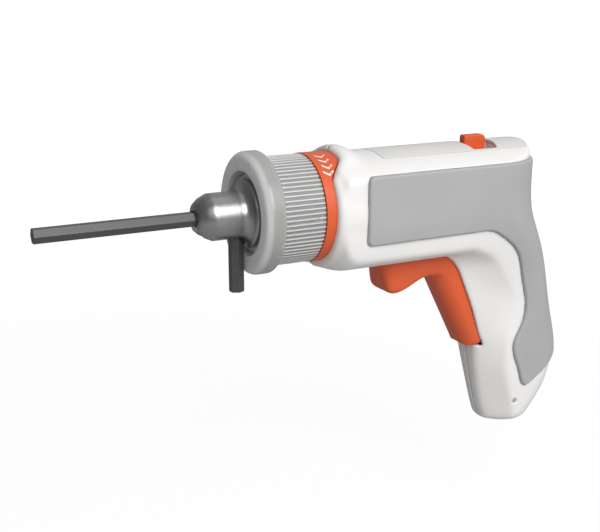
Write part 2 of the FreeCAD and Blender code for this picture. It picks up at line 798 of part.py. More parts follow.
def lip(notch):
    """Raised band round the ring, blended down to the barrel; its front edge is rounded along the notch too."""
    band_end = X_LIP + S.lip_length
    blend_end = band_end + S.lip_blend
    top = S.lip_radius
    low = top - S.lip_fall
    quarter = S.lip_blend / 4
    rise = S.lip_fall / 8
    points = [V(X_LIP, 0, S.snout_radius), V(X_LIP, 0, top), V(band_end, 0, top),
              V(band_end + quarter * 2, 0, (top + low) / 2), V(blend_end, 0, low),
              V(blend_end, 0, S.snout_radius)]
    edges = [
        Part.makeLine(points[0], points[1]),
        Part.makeLine(points[1], points[2]),
        Part.Arc(points[2], V(band_end + quarter, 0, top - rise), points[3]).toShape(),
        Part.Arc(points[3], V(band_end + quarter * 3, 0, low + rise), points[4]).toShape(),
        Part.makeLine(points[4], points[5]),
        Part.makeLine(points[5], points[0]),
    ]
    made = Part.Face(Part.Wire(edges)).revolve(V(), X_AXIS, 360)
    made.translate(V(0, 0, -S.lip_drop))

    def on_rim(edge):
        middle = edge.valueAt((edge.FirstParameter + edge.LastParameter) / 2)
        radius = math.hypot(middle.y, middle.z + S.lip_drop)
        across = edge.BoundBox.YLength > S.slide_gap
        return across and abs(radius - top) < S.run_gap and middle.x < band_end - S.run_gap

    return soften(made.cut(notch), S.lip_round, on_rim)


def brow_cutter():
    """What lies outside the round brow that leads from the lip to the barrel's corners."""
    front = X_LIP + S.lip_round
    end = front + S.brow_length
    low = S.lip_radius - S.slide_gap
    high = S.lip_radius + S.brow_rise
    radius = (S.brow_length ** 2 + (high - low) ** 2) / (2 * (high - low))
    half_turn = math.asin(S.brow_length / radius) / 2
    middle = V(end - radius * math.sin(half_turn), 0, high - radius * (1 - math.cos(half_turn)))
    wide = high + S.overrun
    points = [V(front, 0, low), V(end, 0, high), V(end, 0, wide), V(X_RING, 0, wide), V(X_RING, 0, low)]
    edges = [Part.Arc(points[0], middle, points[1]).toShape()]
    edges += [Part.makeLine(a, b) for a, b in zip(points[1:], points[2:] + points[:1])]
    made = Part.Face(Part.Wire(edges)).revolve(V(), X_AXIS, 360)
    made.translate(V(0, 0, -S.lip_drop))
    return made


# Cutters and inner walls shared by the housing and what it holds


def panel_wire():
    """Side view of a soft panel: barrel side, the wave down the grip and its lower end."""
    left = X_LIP + S.panel_setback
    wave = [V(X_LIP + along * S.barrel_length, 0, -down * S.grip_depth) for along, down in PANEL_SHARES]
    wave[0].z = -S.panel_bottom
    end = V(X_LIP + PANEL_END_SHARES[0] * S.barrel_length, 0, -PANEL_END_SHARES[1] * S.grip_depth)
    curve = Part.BSplineCurve()
    curve.interpolate(wave, InitialTangent=X_AXIS, FinalTangent=(end - wave[-1]).normalize())
    corner = S.panel_corner
    bow = corner * (1 - math.sqrt(0.5))
    top = S.panel_top
    low = -S.panel_bottom
    return Part.Wire([
        curve.toShape(),
        Part.makeLine(wave[-1], end),
        Part.makeLine(end, V(end.x, 0, top)),
        Part.makeLine(V(end.x, 0, top), V(left + corner, 0, top)),
        Part.Arc(V(left + corner, 0, top), V(left + bow, 0, top - bow), V(left, 0, top - corner)).toShape(),
        Part.makeLine(V(left, 0, top - corner), V(left, 0, low + corner)),
        Part.Arc(V(left, 0, low + corner), V(left + bow, 0, low + bow), V(left + corner, 0, low)).toShape(),
        Part.makeLine(V(left + corner, 0, low), wave[0]),
    ])


def strip_face(shrink):
    """Plan view of the top strip, with its back end concentric with the barrel's."""
    start = X_LIP + S.strip_setback + shrink
    half = S.strip_half - shrink
    radius = S.barrel_half - S.strip_margin - shrink
    centre = X_REAR - S.barrel_half
    back = centre + math.sqrt(radius ** 2 - half ** 2)
    corners = [V(start, -half, 0), V(back, -half, 0), V(back, half, 0), V(start, half, 0)]
    return Part.Face(Part.Wire([
        Part.makeLine(corners[0], corners[1]),
        Part.Arc(corners[1], V(centre + radius, 0, 0), corners[2]).toShape(),
        Part.makeLine(corners[2], corners[3]),
        Part.makeLine(corners[3], corners[0]),
    ]))


def crown_rod(level):
    return rod_shape(S.crown_radius + level, X_BACK - X_LIP, V(X_LIP, 0, Z_CROWN), X_AXIS)


def strip_block(shrink):
    return strip_face(shrink).extrude(V(0, 0, S.overrun)).cut(crown_rod(shrink - S.strip_seat))


def selector_pocket():
    """Pocket across the top that the selector slides in, with a bowed back wall."""
    floor = S.selector_floor
    half = S.pocket_half
    back = rod_shape(S.pocket_bow, S.overrun, V(X_POCKET_END - S.pocket_bow, 0, floor), Z_AXIS)
    return box_shape(X_POCKET, X_POCKET_END, -half, half, floor, floor + S.overrun).common(back)


def stem_slot(low):
    middle = X_SELECTOR + S.selector_length / 2
    half = S.stem_length / 2 + S.slide_gap
    side = S.stem_half + S.selector_travel + S.slide_gap
    return box_shape(middle - half, middle + half, -side, side, low, S.selector_floor + S.tray)


def trigger_points(shares, shift=0):
    points = []
    for along, down, turn in shares:
        corner = V(X_TRIGGER + along * S.trigger_span + shift, 0, Z_TRIGGER - down * S.trigger_drop)
        points.append((corner, turn * S.trigger_round))
    return points


def trigger_opening():
    """Mouth in the grip that the trigger's blade moves through, and the slot for its tongue."""
    shifted = trigger_points(BLADE_SHARES, S.trigger_travel + S.slide_gap)
    heel, back, shoulder, top = [corner for corner, _ in shifted[BLADE_FRONT:]]
    low = heel.z - S.slide_gap
    roof = Z_TRIGGER + S.slide_gap
    points = [V(X_TRIGGER, 0, Z_TRIGGER), V(X_TRIGGER, 0, low), V(back.x, 0, low), back, shoulder,
              V(top.x, 0, roof), V(X_TONGUE, 0, roof)]
    mouth = slab(Part.makePolygon(points + points[:1]), S.trigger_half + S.slide_gap)
    half = S.tongue_half + S.slide_gap
    slot = box_shape(X_TONGUE - S.slide_gap, X_CONTACT, -half, half, Z_TRIGGER - S.slide_gap,
                     Z_TONGUE + S.slide_gap)
    return mouth.fuse(slot)


def cell_axis():
    return FreeCAD.Rotation(Y_AXIS, -CELL_RAKE).multVec(Z_AXIS)


def cell_base():
    middle = V(X_REAR - S.cell_lead, 0, -S.grip_depth + S.cell_rise)
    return middle - cell_axis() * (S.cell_length / 2)


def screw_places():
    front = (X_LIP + S.front_screw_setback, -S.under_depth + S.front_screw_rise)
    middle = (X_GRIP + S.middle_screw_setback, -S.middle_screw_depth)
    low = (X_REAR - S.low_screw_lead, Z_BOARD + S.low_screw_rise)
    return [front, middle, low]


def inner_walls():
    """Ribs, shelves, screw bosses and the selector's tray inside the shell."""
    wide = S.barrel_half + S.barrel_flare
    walls = []
    for share in RIB_SHARES:
        x = X_LIP + share * S.barrel_length
        walls.append(box_shape(x, x + S.rib, -wide, wide, -S.under_depth, S.crown_height))
    for share in SHELF_SHARES:
        z = -share * S.grip_depth
        walls.append(box_shape(X_GRIP, X_BACK, -wide, wide, z, z + S.rib))
    stop = -CELL_STOP_SHARE * S.grip_depth
    walls.append(box_shape(X_GRIP, X_BACK, -wide, wide, stop, stop + S.rib))
    board = Z_BOARD - S.board_thick / 2
    walls.append(box_shape(X_GRIP, X_BACK, -wide, wide, board - S.rib, board))
    contact_end = X_CONTACT + S.contact_length
    stop_end = contact_end + S.rib
    tray = S.tray_half
    walls.append(box_shape(X_TONGUE_END, stop_end, -tray, tray, Z_SHELF - S.wall, Z_SHELF))
    walls.append(box_shape(contact_end, stop_end, -wide, wide, Z_SHELF, Z_SHELF + S.contact_height))
    tray_front = X_POCKET - S.tray_margin
    tray_end = X_POCKET_END + S.tray_margin
    tray_low = S.selector_floor - S.tray
    walls.append(box_shape(tray_front, tray_end, -tray, tray, tray_low, S.crown_height))
    for x, z in screw_places():
        boss = S.screw_radius + S.boss_wall
        walls.append(rod_shape(boss, wide * 2, V(x, -wide, z), Y_AXIS))
    return walls[0].multiFuse(walls[1:])


def inner_cutters():
    """Room for everything that the shell holds, with running or seating clearance."""
    gap = S.run_gap
    length = X_MOTOR_END - X_CASE + S.cap_length
    cell_low = cell_base() - cell_axis() * S.lead_thick
    return [
        rod_shape(S.snout_radius + gap, S.front_wall + gap, V(X_LIP, 0, 0), X_AXIS),
        rod_shape(S.case_radius + gap, X_MOTOR - X_CASE, V(X_CASE, 0, 0), X_AXIS),
        rod_shape(S.motor_radius + gap, length, V(X_CASE, 0, 0), X_AXIS),
        rod_shape(S.cell_radius + gap, S.cell_length + S.lead_thick * 2, cell_low, cell_axis()),
        trigger_opening(),
        selector_pocket(),
        stem_slot(S.selector_floor - S.tray),
    ]


def screw_cutters():
    """Pilot holes in the left half, clearance holes and head pockets in the right one."""
    made = []
    for x, z in screw_places():
        tip = V(x, -S.screw_reach, z)
        made.append(rod_shape(S.screw_radius + S.run_gap, S.screw_reach + S.screw_seat, tip, Y_AXIS))
        made.append(rod_shape(S.screw_head_radius + S.slide_gap, S.overrun, V(x, S.screw_seat, z), Y_AXIS))
    return made


def port_cutter():
    """Mouth of the charge socket through the back of the butt."""
    half = S.socket_half + S.slide_gap
    low = Z_BOARD + S.board_thick / 2 - S.slide_gap
    high = low + S.socket_height + S.slide_gap * 2
    return box_shape(X_BOARD_END, X_BOARD_END + S.overrun, -half, half, low, high)


def light_place():
    return V(X_REAR - S.light_lead, 0, Z_BOARD + S.board_thick / 2 + S.light_radius + S.run_gap)


def light_end():
    """Where the light pipe comes out, just inside the left skin."""
    return grip_half_at(light_place().z / -S.grip_depth) - S.light_inset


def housing():
    """Both halves of the shell, split on the middle plane."""
    seat = rod_shape(S.ring_radius - S.tab_wall - S.slide_gap, S.overrun, V(X_RING, 0, 0), X_AXIS)
    notch = tab_prism(S.slide_gap).cut(seat)
    band = rod_shape(S.lip_radius, S.lip_length, V(X_LIP, 0, -S.lip_drop), X_AXIS)
    skin = housing_skin().cut([band, brow_cutter()]).fuse(lip(notch))
    hollow = pistol_form(-S.wall, X_CASE).cut(inner_walls())
    panels = slab(panel_wire(), S.overrun).cut(side_form(-S.panel_seat))
    pipe = light_place()
    light = rod_shape(S.light_radius + S.run_gap, S.overrun, V(pipe.x, -S.overrun, pipe.z), Y_AXIS)
    light = light.common(box_shape(X_LIP, X_BACK, -S.overrun, -S.board_half, -S.overrun * 3, 0))
    outer = [notch, panels, strip_block(0), port_cutter(), light]
    shell = skin.cut([hollow, *outer, *inner_cutters(), *screw_cutters()])
    low = -S.grip_depth - S.overrun
    high = S.crown_height + S.overrun
    left = shell.common(box_shape(X_RING, X_BACK, -S.overrun, 0, low, high))
    right = shell.common(box_shape(X_RING, X_BACK, 0, S.overrun, low, high))
    return solid("left_housing", left), solid("right_housing", right)


def on_outline(edge, wire):
    """True for a panel's edges along its outer skin, and not for those across its thickness."""
    box = edge.BoundBox
    middle = edge.valueAt((edge.FirstParameter + edge.LastParameter) / 2)
    flat = Part.Vertex(V(middle.x, 0, middle.z))
    across = box.XLength + box.ZLength < S.run_gap
    return not across and abs(middle.y) > S.panel_round and wire.distToShape(flat)[0] < S.run_gap


def grip_panels():
    """Soft panels seated in both sides and meeting at the back of the grip."""
    proud = side_form(S.panel_proud)
    seat = side_form(-S.panel_seat)
    wire = panel_wire()
    pads = []
    for side, name in ((-1, "left_grip_panel"), (1, "right_grip_panel")):
        pad = proud.common(Part.Face(wire).extrude(V(0, side * S.overrun, 0)))
        pad = soften(pad, S.panel_round, lambda edge: on_outline(edge, wire))
        pads.append(solid(name, pad.cut(seat)))
    return pads


def top_strip():
    return solid("top_strip", strip_block(S.fit_gap).common(crown_rod(0)).cut(selector_pocket()))


# Selector, trigger and their switches


def direction_selector():
    """Thumb fin on a foot that slides across the pocket, and a stem that reaches the switch."""
    low = S.selector_floor + S.slide_gap
    end = X_SELECTOR + S.selector_length
    fin = block("selector_fin", X_SELECTOR, end, S.selector_half, low, S.selector_crest)
    doc.recompute()
    soft = doc.addObject("Part::Fillet", "selector_soft")
    soft.Base = fin
    rounds = []
    for i, edge in enumerate(fin.Shape.Edges, 1):
        box = edge.BoundBox
        if box.ZMax > S.selector_crest - S.run_gap:
            at_back = box.XMin > end - S.run_gap and box.ZMin > S.selector_crest - S.run_gap
            turn = float(S.selector_back_round if at_back else S.selector_round)
            rounds.append((i, turn, turn))
    soft.Edges = rounds
    foot = block("selector_foot", X_SELECTOR + S.foot_inset, end - S.foot_inset, S.foot_half, low,
                 low + S.foot_height)
    middle = X_SELECTOR + S.selector_length / 2
    stem = block("selector_stem", middle - S.stem_length / 2, middle + S.stem_length / 2, S.stem_half,
                 low - S.stem_drop, low + S.foot_height)
    return fuse("direction_selector", soft, foot, stem)


def direction_switch():
    top = S.selector_floor - S.tray
    middle = X_SELECTOR + S.selector_length / 2
    run = S.switch_length / 2
    body = block("switch_body", middle - run, middle + run, S.switch_half, top - S.switch_height, top)
    half = S.stem_length / 2 + S.slide_gap
    slot = block("switch_slot", middle - half, middle + half, S.stem_half + S.selector_travel + S.slide_gap,
                 S.selector_floor - S.stem_drop, top + S.tray)
    return cut("direction_switch", body, slot)


def nosed_bar(front, run):
    """Bar along a run, with the corners of its front rounded across the trigger's width."""
    back = V(-run.z, 0, run.x) * S.trigger_span
    start = front - run * S.trigger_drop
    side = V(0, S.trigger_half, 0)
    corners = [start - side, start + side, start + back + side, start + back - side]
    section = Part.Face(rounded_wire([(corner, S.trigger_edge) for corner in corners]))
    return section.extrude(run * (S.trigger_drop * 3))


def fingered(wire, bar):
    """Side view of a trigger piece, rounded across its front and at the corners of its low end."""
    half = S.trigger_half
    low = wire.BoundBox.ZMin
    top = Z_TRIGGER + S.trigger_drop
    corners = [V(X_TRIGGER, y, z) for y, z in ((-half, low), (half, low), (half, top), (-half, top))]
    end = Part.Face(rounded_wire([(corner, S.trigger_tip) for corner in corners]))
    return slab(wire, half).common(bar).common(end.extrude(V(S.trigger_span * 2, 0, 0)))


def trigger():
    """Shoe for one finger above and the blade below, on a tongue that slides in the housing."""
    upper = trigger_points(SHOE_SHARES)
    lower = trigger_points(BLADE_SHARES)
    run = (lower[1][0] - lower[0][0]).normalize()
    shoe = fingered(rounded_wire(upper), nosed_bar(upper[0][0], -Z_AXIS))
    blade = fingered(rounded_wire(lower), nosed_bar(lower[0][0], run))
    half = S.tongue_half
    tongue = box_shape(X_TONGUE, X_TONGUE_END, -half, half, Z_TRIGGER - S.tongue_root, Z_TONGUE)
    return solid("trigger", shoe.fuse([blade, tongue]).removeSplitter())


def switch_plunger():
    z = Z_SHELF + S.plunger_height
    return rod("switch_plunger", S.plunger_radius, S.plunger_length, X_TONGUE_END, z=z)


def trigger_switch():
    body = block("contact_body", X_CONTACT, X_CONTACT + S.contact_length, S.contact_half, Z_SHELF,
                 Z_SHELF + S.contact_height)
    bore = rod("contact_hole", S.contact_bore, S.plunger_length, X_CONTACT, 0, Z_SHELF + S.plunger_height)
    return cut("trigger_switch", body, bore)


# Gear case, gears and motor

SUN_RADIUS = S.gear_module * (SUN_TEETH / 2)
PLANET_RADIUS = S.gear_module * (PLANET_TEETH / 2)
RING_RADIUS = S.gear_module * (RING_TEETH / 2)
ORBIT = SUN_RADIUS + PLANET_RADIUS
X_CARRIER = X_BELL + S.gear_gap
X_PLANETS = X_CARRIER + S.carrier_plate + S.gear_gap
X_FIRST = X_PLANETS + S.gear_width + S.gear_gap
X_FIRST_PLANETS = X_FIRST + S.carrier_plate + S.gear_gap


def orbit_places():
    turns = [2 * math.pi * i / PLANETS for i in range(PLANETS)]
    return [(ORBIT * math.sin(turn), ORBIT * math.cos(turn)) for turn in turns]


def gearbox_case():
    bore = S.bush_radius + S.fit_gap
    inner = S.case_radius - S.case_wall
    return turned("gearbox_case", (
        (X_SNOUT, S.snout_bore), (X_SNOUT, S.snout_radius), (X_CASE, S.snout_radius), (X_CASE, S.case_radius),
        (X_MOTOR, S.case_radius), (X_MOTOR, inner), (X_BELL, inner), (X_BELL, bore), (X_BUSH, bore),
        (X_BUSH, S.snout_bore),
    ))


def bush(name, start):
    return tube(name, S.spindle_radius + S.fit_gap, S.bush_radius, start, start + S.bush_length)


def spindle():
    """Output shaft with its carrier disc and the pins of the output planets."""
    stub = S.nose_bore - S.fit_gap
    shaft = turned("spindle_shaft", (
        (X_HUB_END - S.nose_bore_depth, 0), (X_HUB_END - S.nose_bore_depth, stub), (X_HUB_END, stub),
        (X_HUB_END, S.spindle_radius), (X_CARRIER, S.spindle_radius), (X_CARRIER, S.carrier_radius),
        (X_CARRIER + S.carrier_plate, S.carrier_radius), (X_CARRIER + S.carrier_plate, 0),
    ))
    return fuse("spindle", shaft, *pins("spindle_pin", X_CARRIER + S.carrier_plate))


def pins(name, start):
    return [rod(f"{name}_{i}", S.pin_radius, S.gear_width + S.gear_gap, start, y, z)
            for i, (y, z) in enumerate(orbit_places(), 1)]


def gear(x, teeth, radius, bore, phase):
    wire = toothed_wire(x, teeth, radius - ROOT_SHARE * S.gear_module, radius + TIP_SHARE * S.gear_module,
                        TOOTH_ROOT_SHARE, TOOTH_TIP_SHARE, phase)
    return prism(wire, S.gear_width, *([circle_wire(x, bore)] if bore else []))


def planets(name, start):
    bore = S.pin_radius + S.run_gap
    made = []
    for letter, (y, z) in zip("abc", orbit_places()):
        planet = solid(f"{name}_{letter}", gear(start, PLANET_TEETH, PLANET_RADIUS, bore, GAP_PHASE))
        made.append(at(planet, 0, y, z))
    return made


def first_carrier():
    """First-stage carrier: plate, pins for its planets and the sun of the output stage."""
    plate = rod("first_plate", S.carrier_radius, S.carrier_plate, X_FIRST)
    sun = solid("output_sun", gear(X_FIRST - S.gear_width, SUN_TEETH, SUN_RADIUS, 0, 0))
    return fuse("first_carrier", plate, sun, *pins("first_pin", X_FIRST + S.carrier_plate))


def ring_gear():
    start = X_CASE + S.ring_gear_setback
    teeth = toothed_wire(start, RING_TEETH, RING_RADIUS - TIP_SHARE * S.gear_module,
                         RING_RADIUS + ROOT_SHARE * S.gear_module, SPACE_TIP_SHARE, SPACE_ROOT_SHARE,
                         GAP_PHASE)
    outer = circle_wire(start, S.case_radius - S.case_wall - S.fit_gap)
    return solid("ring_gear", prism(outer, S.ring_gear_length, teeth))


def motor_pinion():
    return solid("motor_pinion", gear(X_FIRST_PLANETS, SUN_TEETH, SUN_RADIUS, S.shaft_radius + S.fit_gap, 0))


def motor_plate():
    hole = S.motor_boss + S.fit_gap
    return tube("motor_plate", hole, S.case_radius - S.case_wall - S.fit_gap, X_PLATE, X_MOTOR)


def motor_can():
    bore = S.shaft_radius + S.run_gap
    inner = S.motor_radius - S.can_wall
    start = X_MOTOR - S.motor_boss_length
    return turned("motor_can", (
        (start, bore), (start, S.motor_boss), (X_MOTOR, S.motor_boss),
        (X_MOTOR, S.motor_radius), (X_MOTOR_END, S.motor_radius), (X_MOTOR_END, inner),
        (X_MOTOR + S.can_wall, inner), (X_MOTOR + S.can_wall, bore),
    ))


def motor_end_cap():
    bore = S.shaft_radius + S.run_gap
    end = X_MOTOR_END + S.cap_length
    return turned("motor_end_cap", (
        (X_MOTOR_END, bore), (X_MOTOR_END, S.cap_radius), (end, S.cap_radius), (end, S.cap_boss),
        (end + S.cap_boss_length, S.cap_boss), (end + S.cap_boss_length, bore),
    ))


def motor_shaft():
    end = X_MOTOR_END + S.cap_length
    return rod("motor_shaft", S.shaft_radius, end - X_FIRST_PLANETS, X_FIRST_PLANETS)


def motor_rotor():
    start = X_MOTOR + S.rotor_setback
    return tube("motor_rotor", S.shaft_radius + S.fit_gap, S.rotor_radius, start, start + S.rotor_length)


# Battery, charging and screws


def battery_cell():
    obj = doc.addObject("Part::Cylinder", "battery_cell")
    bind(obj, Radius=S.cell_radius, Height=S.cell_length)
    obj.Placement = FreeCAD.Placement(cell_base(), FreeCAD.Rotation(Y_AXIS, -CELL_RAKE))
    return obj


def battery_leads():
    """Welded strips on both ends of the cell."""
    strips = []
    for name, along in (("low_lead", -S.lead_thick), ("high_lead", S.cell_length)):
        strip = doc.addObject("Part::Box", name)
        bind(strip, Length=S.lead_length, Width=S.lead_half * 2, Height=S.lead_thick)
        turn = FreeCAD.Rotation(Y_AXIS, -CELL_RAKE)
        corner = turn.multVec(V(-S.lead_length / 2, -S.lead_half, along))
        strip.Placement = FreeCAD.Placement(cell_base() + corner, turn)
        strips.append(strip)
    made = doc.addObject("Part::Compound", "battery_leads")
    made.Links = strips
    return made


def charge_board():
    low = Z_BOARD - S.board_thick / 2
    return block("charge_board", X_BOARD, X_BOARD_END, S.board_half, low, low + S.board_thick)


def charge_socket():
    """Metal shell of the port with its contact tongue, open at the back of the butt."""
    end = X_BOARD_END + S.socket_overhang
    low = Z_BOARD + S.board_thick / 2
    start = end - S.socket_length
    shell = block("socket_shell", start, end, S.socket_half, low, low + S.socket_height)
    room = block("socket_room", start + S.socket_wall, end + S.socket_wall, S.socket_half - S.socket_wall,
                 low + S.socket_wall, low + S.socket_height - S.socket_wall)
    middle = low + S.socket_height / 2
    tongue = block("socket_tongue", start, end - S.socket_wall * 2, S.socket_half - S.socket_wall * 3,
                   middle - S.socket_tongue / 2, middle + S.socket_tongue / 2)
    return fuse("charge_socket", cut("socket_cup", shell, room), tongue)


def charge_light():
    place = light_place()
    end = light_end()
    return rod("charge_light", S.light_radius, end - S.light_inner, place.x, -end, place.z, ALONG_Y)


def housing_screws():
    screws = []
    length = S.screw_reach + S.screw_seat
    for i, (x, z) in enumerate(screw_places(), 1):
        shank = rod(f"screw_shank_{i}", S.screw_radius, length, x, -S.screw_reach, z, ALONG_Y)
        head = rod(f"screw_head_{i}", S.screw_head_radius, S.screw_head, x, S.screw_seat, z, ALONG_Y)
        screws.append(fuse(f"screw_{i}", shank, head))
    made = doc.addObject("Part::Compound", "housing_screws")
    made.Links = screws
    return made


NODES = [
    hex_key(), chuck_nose(), key_jaw(), clamp_sleeve(), clamp_collar(), indicator_ring(), *housing(),
    *grip_panels(), top_strip(), direction_selector(), direction_switch(), trigger(), switch_plunger(),
    trigger_switch(), gearbox_case(), bush("front_bush", X_BUSH), bush("rear_bush", X_BUSH + S.bush_spacing),
    spindle(), *planets("output_planet", X_PLANETS), first_carrier(), *planets("first_planet", X_FIRST_PLANETS),
    ring_gear(), motor_pinion(), motor_plate(), motor_can(), motor_end_cap(), motor_shaft(), motor_rotor(),
    battery_cell(), battery_leads(), charge_board(), charge_socket(), charge_light(), housing_screws(),
]
for piece in NODES:
    piece.Label = piece.Name
doc.recompute()

for obj in doc.Objects:
    if "Invalid" in obj.State or "Error" in obj.State:
        raise RuntimeError(f"{obj.Name} did not recompute")
for piece in NODES:
    if piece.Shape.isNull() or not piece.Shape.isValid():
        raise RuntimeError(f"{piece.Name} has no sound shape")

os.makedirs("parts", exist_ok=True)
for piece in NODES:
    piece.Shape.exportStep(f"parts/{piece.Label}.step")
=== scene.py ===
import json
import math
import bpy
from mathutils import Matrix, Vector
from mathutils.bvhtree import BVHTree


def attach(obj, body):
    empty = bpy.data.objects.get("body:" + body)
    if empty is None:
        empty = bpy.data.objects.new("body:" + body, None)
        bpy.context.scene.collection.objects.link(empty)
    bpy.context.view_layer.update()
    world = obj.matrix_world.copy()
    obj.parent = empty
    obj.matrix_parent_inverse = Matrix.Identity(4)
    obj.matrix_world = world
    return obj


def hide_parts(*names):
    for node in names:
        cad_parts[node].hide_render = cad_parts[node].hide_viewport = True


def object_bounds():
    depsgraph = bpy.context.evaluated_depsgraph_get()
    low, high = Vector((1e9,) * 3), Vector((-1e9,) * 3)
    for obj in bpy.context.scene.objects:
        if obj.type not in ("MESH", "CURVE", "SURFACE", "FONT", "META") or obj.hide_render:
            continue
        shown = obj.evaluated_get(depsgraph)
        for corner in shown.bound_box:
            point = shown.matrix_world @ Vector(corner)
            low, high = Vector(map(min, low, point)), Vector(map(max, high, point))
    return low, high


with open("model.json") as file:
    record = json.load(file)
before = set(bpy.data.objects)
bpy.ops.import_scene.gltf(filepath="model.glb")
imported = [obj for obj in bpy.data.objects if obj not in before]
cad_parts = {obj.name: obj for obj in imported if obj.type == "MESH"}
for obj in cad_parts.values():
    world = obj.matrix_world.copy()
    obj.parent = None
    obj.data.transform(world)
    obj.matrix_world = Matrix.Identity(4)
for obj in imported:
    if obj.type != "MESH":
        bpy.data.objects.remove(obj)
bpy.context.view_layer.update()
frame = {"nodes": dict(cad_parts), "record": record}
nodes = frame["nodes"]
subparts = {subpart["node"]: subpart for subpart in frame["record"]["subparts"]}
scene = bpy.context.scene
scene.view_settings.view_transform = "Standard"
MM = 0.001


# Materials


# Scales are in features per metre, and detail is the number of layers in a noise.
COARSE = 2
FINE = 4
FLOW_SCALE = 35
SHEEN_SCALE = 90
SHEEN_SPREAD = 0.05
GRAIN_STRENGTH = 0.35
MOULD_EDGE = 0.4 * MM
STREAK_SCALE = 140
STREAK_SPREAD = 0.08
WEAR_SCALE = 260
WEAR_SPREAD = 0.08
CUT_SCALE = 900
CUT_HEIGHT = 0.03 * MM
CUT_STRENGTH = 0.3
METAL_EDGE = 0.3 * MM
VARY_STOPS = (0.3, 0.7)
BEVEL_SAMPLES = 8
# A mix node's colour sockets go by number, because its other sockets have the same names.
MIX_UNDER, MIX_OVER, MIX_RESULT = 6, 7, 2


class Nodes:
    """A node tree, with the fields that finishes and lights are made of."""

    def __init__(self, tree):
        self.tree = tree

    def add(self, kind, **settings):
        """A new node of a kind, with its settings."""
        made = self.tree.nodes.new("ShaderNode" + kind)
        for setting, value in settings.items():
            setattr(made, setting, value)
        return made

    def link(self, source, target):
        self.tree.links.new(source, target)

    def span(self, field, source, target, **settings):
        """A field moved from one range to another, held at its ends."""
        made = self.add("MapRange", **settings)
        made.inputs["From Min"].default_value, made.inputs["From Max"].default_value = source
        made.inputs["To Min"].default_value, made.inputs["To Max"].default_value = target
        self.link(field, made.inputs["Value"])
        return made.outputs["Result"]

    def combine(self, operation, first, second):
        """A field joined with another one or with a number."""
        made = self.add("Math", operation=operation)
        self.link(first, made.inputs[0])
        if isinstance(second, float):
            made.inputs[1].default_value = second
        else:
            self.link(second, made.inputs[1])
        return made.outputs["Value"]

    def length(self, vector):
        """The length of a vector."""
        made = self.add("VectorMath", operation="LENGTH")
        self.link(vector, made.inputs[0])
        return made.outputs["Value"]

    def along(self, vector):
        """The part of a vector that lies along the spindle axis."""
        made = self.add("SeparateXYZ")
        self.link(vector, made.inputs["Vector"])
        return made.outputs["X"]


class Paint(Nodes):
    """A Principled material whose colour, roughness and relief come from procedural textures."""

    def __init__(self, name, colour, rough, metallic=0.0, **settings):
        self.material = bpy.data.materials.new(name)
        self.material.use_nodes = True
        super().__init__(self.material.node_tree)
        self.shader = self.tree.nodes["Principled BSDF"]
        self.shader.inputs["Base Color"].default_value = (*colour, 1)
        self.shader.inputs["Roughness"].default_value = rough
        self.shader.inputs["Metallic"].default_value = metallic
        for socket, value in settings.items():
            self.shader.inputs[socket.replace("_", " ")].default_value = value
        self.colour = colour
        self.rough = rough
        place = self.add("TexCoord")
        self.where = place.outputs["Object"]
        self.normal = place.outputs["Normal"]
        self.relief = None

    def stretched(self, scale):
        """The place in object space, with each axis scaled."""
        made = self.add("Mapping")
        made.inputs["Scale"].default_value = scale
        self.link(self.where, made.inputs["Vector"])
        return made.outputs["Vector"]

    def noise(self, scale, detail, stretch=None):
        """Noise in object space, drawn out along the axes that a stretch makes small."""
        place = self.stretched(stretch) if stretch else self.where
        made = self.add("TexNoise")
        made.inputs["Scale"].default_value = scale
        made.inputs["Detail"].default_value = detail
        self.link(place, made.inputs["Vector"])
        return made.outputs["Fac"]

    def ramp(self, field, stops):
        """Colours along a field, as position and colour pairs."""
        made = self.add("ValToRGB")
        elements = made.color_ramp.elements
        while len(elements) < len(stops):
            elements.new(0.5)
        for element, (position, colour) in zip(elements, stops):
            element.position = position
            element.color = (*colour, 1)
        self.link(field, made.inputs["Fac"])
        return made.outputs["Color"]

    def facing(self, axis):
        """How far the surface faces along an axis of the tool, from -1 to 1."""
        made = self.add("VectorMath", operation="DOT_PRODUCT")
        made.inputs[1].default_value = axis
        self.link(self.normal, made.inputs[0])
        return made.outputs["Value"]

    def overlaid(self, under, colour, field):
        """A plain colour laid over another one by a field."""
        made = self.add("Mix", data_type="RGBA")
        self.link(field, made.inputs["Factor"])
        self.link(under, made.inputs[MIX_UNDER])
        made.inputs[MIX_OVER].default_value = (*colour, 1)
        return made.outputs[MIX_RESULT]

    def tint(self, colour):
        """Takes the colour from a field of colours."""
        self.link(colour, self.shader.inputs["Base Color"])

    def vary(self, field, spread):
        """Lightens and darkens the colour a little by a field."""
        low = [c * (1 - spread) for c in self.colour]
        high = [min(1, c * (1 + spread)) for c in self.colour]
        self.tint(self.ramp(field, list(zip(VARY_STOPS, (low, high)))))

    def scuff(self, field, spread):
        """Moves the roughness up and down by a field."""
        moved = self.span(field, (0, 1), (self.rough - spread, self.rough + spread))
        self.link(moved, self.shader.inputs["Roughness"])

    def soften(self, radius):
        """Shades hard edges as if they were rounded by a radius in metres, or by a field of it."""
        made = self.add("Bevel", samples=BEVEL_SAMPLES)
        if isinstance(radius, float):
            made.inputs["Radius"].default_value = radius
        else:
            self.link(radius, made.inputs["Radius"])
        self.relief = made.outputs["Normal"]

    def emboss(self, field, height, strength):
        """Adds fine relief of a height in metres over the softened edges."""
        bump = self.add("Bump")
        bump.inputs["Distance"].default_value = height
        bump.inputs["Strength"].default_value = strength
        self.link(field, bump.inputs["Height"])
        self.link(self.relief, bump.inputs["Normal"])
        self.link(bump.outputs["Normal"], self.shader.inputs["Normal"])


